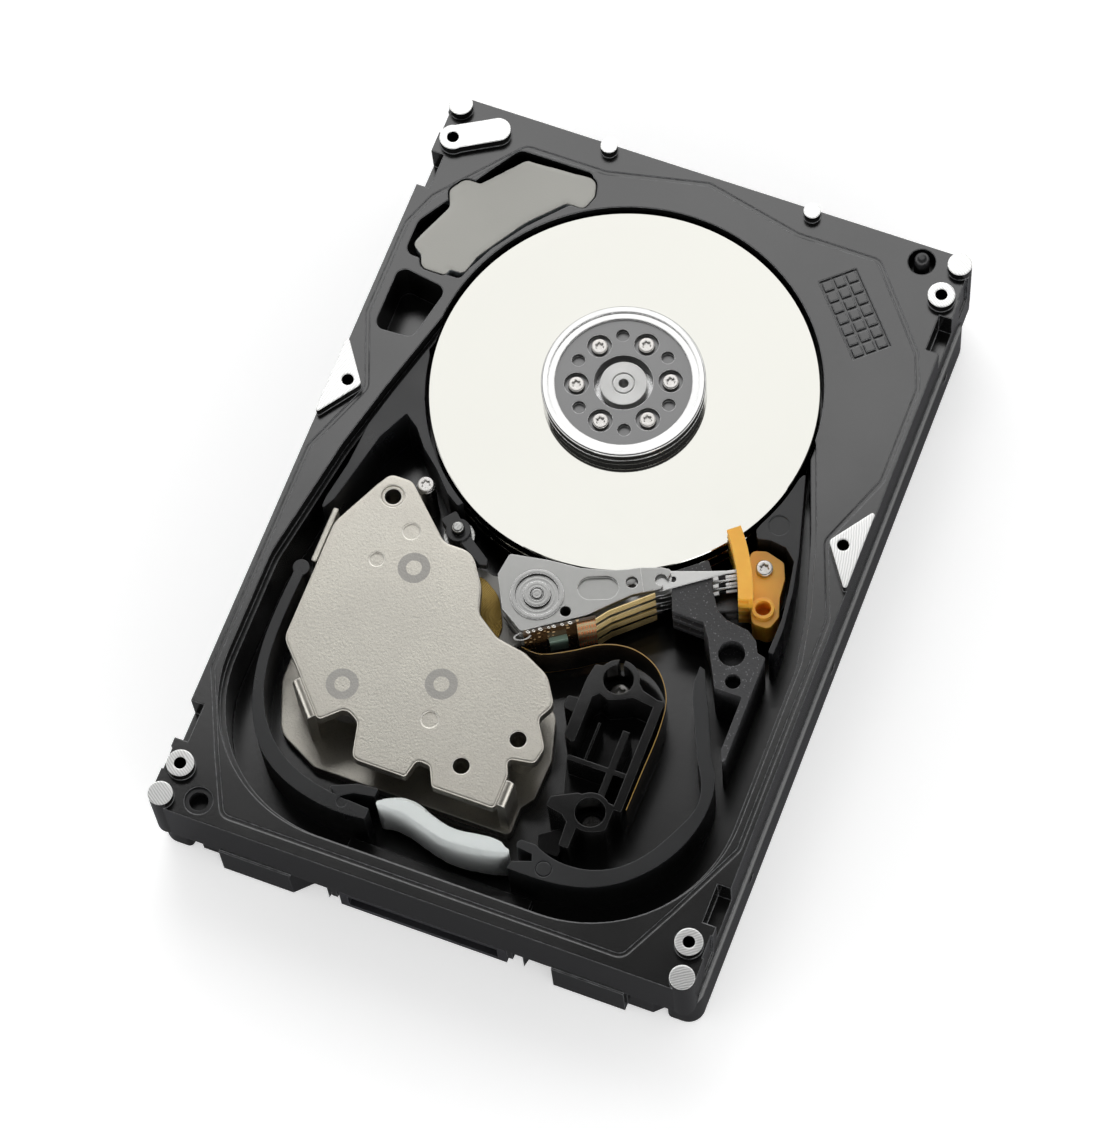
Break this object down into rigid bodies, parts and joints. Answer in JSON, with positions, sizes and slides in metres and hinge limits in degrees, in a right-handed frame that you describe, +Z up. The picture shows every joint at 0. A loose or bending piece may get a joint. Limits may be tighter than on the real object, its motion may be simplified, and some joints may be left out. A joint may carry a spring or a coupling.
{
  "type": "hard disk drive",
  "caption": "Open 3.5-inch hard disk drive without its cover: cast base, disc stack on a spindle, swinging head stack, voice coil motor, ramp, filters and circuit board.",
  "frame": {"origin": "centre of the footprint on the underside of the mounting rails", "axes": "+Z up out of the open case, +Y towards the disc end, -Y towards the connector end, +X to the ramp side"},
  "size_m": [0.1016, 0.147, 0.0248],
  "materials": {
    "casting": "satin black electro-coat over cast aluminium, milled bright on the boss tops",
    "black_pin": "moulded black",
    "bearing_steel": "turned and ground",
    "core_steel": "laminated, oxide grey",
    "copper_wire": "enamelled winding wire",
    "plated_steel": "nickel-plated, fine orange-peel",
    "magnet": "nickel-plated sintered magnet",
    "stop_rubber": "moulded elastomer",
    "amber_plastic": "smooth moulded amber polymer",
    "cast_post": "satin black",
    "screw_steel": "zinc-plated",
    "textured_black": "glass-filled, speckled",
    "satin_black": "satin moulded",
    "gloss_black": "glossy moulded",
    "filter_cloth": "woven filter cloth pouch",
    "filter_film": "membrane-faced breather pad",
    "board_green": "solder-masked laminate",
    "foam": "closed-cell sheet",
    "chip_black": "moulded package",
    "connector_black": "moulded",
    "gold_contact": "gold-plated",
    "hub_alloy": "turned",
    "clamp_steel": "polished rim, blasted face",
    "disc_mirror": "mirror-finished magnetic disc",
    "arm_alloy": "machined extrusion",
    "beam_steel": "etched spring steel",
    "slider_ceramic": "lapped ceramic",
    "carrier_plastic": "overmoulded polymer",
    "flex_film": "polyimide film with copper traces"
  },
  "bodies": {
    "base": {"base_casting": "casting", "locator_pin": "black_pin", "cover_bush": "black_pin", "motor_sleeve": "bearing_steel", "stator_core": "core_steel", "stator_windings": "copper_wire", "pivot_shaft": "bearing_steel", "pivot_bolt": "bearing_steel", "vcm_top_plate": "plated_steel", "vcm_legs": "plated_steel", "vcm_bottom_plate": "plated_steel", "vcm_top_magnet": "magnet", "vcm_bottom_magnet": "magnet", "plate_standoffs": "plated_steel", "crash_stop_pins": "bearing_steel", "crash_stop_sleeves": "stop_rubber", "latch_pin": "bearing_steel", "ramp": "amber_plastic", "ramp_post": "cast_post", "ramp_screw": "screw_steel", "comb_plate": "textured_black", "right_shroud": "satin_black", "left_shroud": "satin_black", "left_rail": "satin_black", "right_rail": "satin_black", "filter_pouch": "filter_cloth", "filter_pad": "filter_film", "flex_bracket": "gloss_black", "bracket_screws": "screw_steel", "shroud_screw": "screw_steel", "circuit_board": "board_green", "board_insulator": "foam", "board_chips": "chip_black", "board_screws": "screw_steel", "interface_connector": "connector_black", "connector_contacts": "gold_contact"},
    "spindle": {"spindle_hub": "hub_alloy", "spindle_shaft": "bearing_steel", "rotor_magnet": "magnet", "disc_clamp": "clamp_steel", "clamp_screws": "screw_steel", "platter_1": "disc_mirror", "platter_2": "disc_mirror", "platter_3": "disc_mirror", "disc_spacer_1": "hub_alloy", "disc_spacer_2": "hub_alloy"},
    "actuator": {"arm_block": "arm_alloy", "pivot_sleeve": "bearing_steel", "pivot_bearings": "bearing_steel", "load_beams": "beam_steel", "head_sliders": "slider_ceramic", "voice_coil": "copper_wire", "coil_carrier": "carrier_plastic", "arm_flex_board": "flex_film", "preamp_chip": "chip_black", "flex_tails": "flex_film", "flex_ribbon": "flex_film"},
    "latch": {"latch_lever": "satin_black"}
  },
  "joints": [
    {"name": "spindle_spin", "type": "hinge", "parent": "base", "child": "spindle", "pos_m": [-0.00039, 0.02875, 0.0175], "axis": [0, 0, 1], "continuous": true},
    {"name": "actuator_swing", "type": "hinge", "parent": "base", "child": "actuator", "pos_m": [-0.00041, -0.01406, 0.017], "axis": [0, 0, 1], "range_deg": [0, 38], "deforming": ["flex_ribbon"]},
    {"name": "latch_swing", "type": "hinge", "parent": "base", "child": "latch", "pos_m": [-0.0187, -0.006, 0.0127], "axis": [0, 0, 1], "range_deg": [-8, 8]}
  ]
}
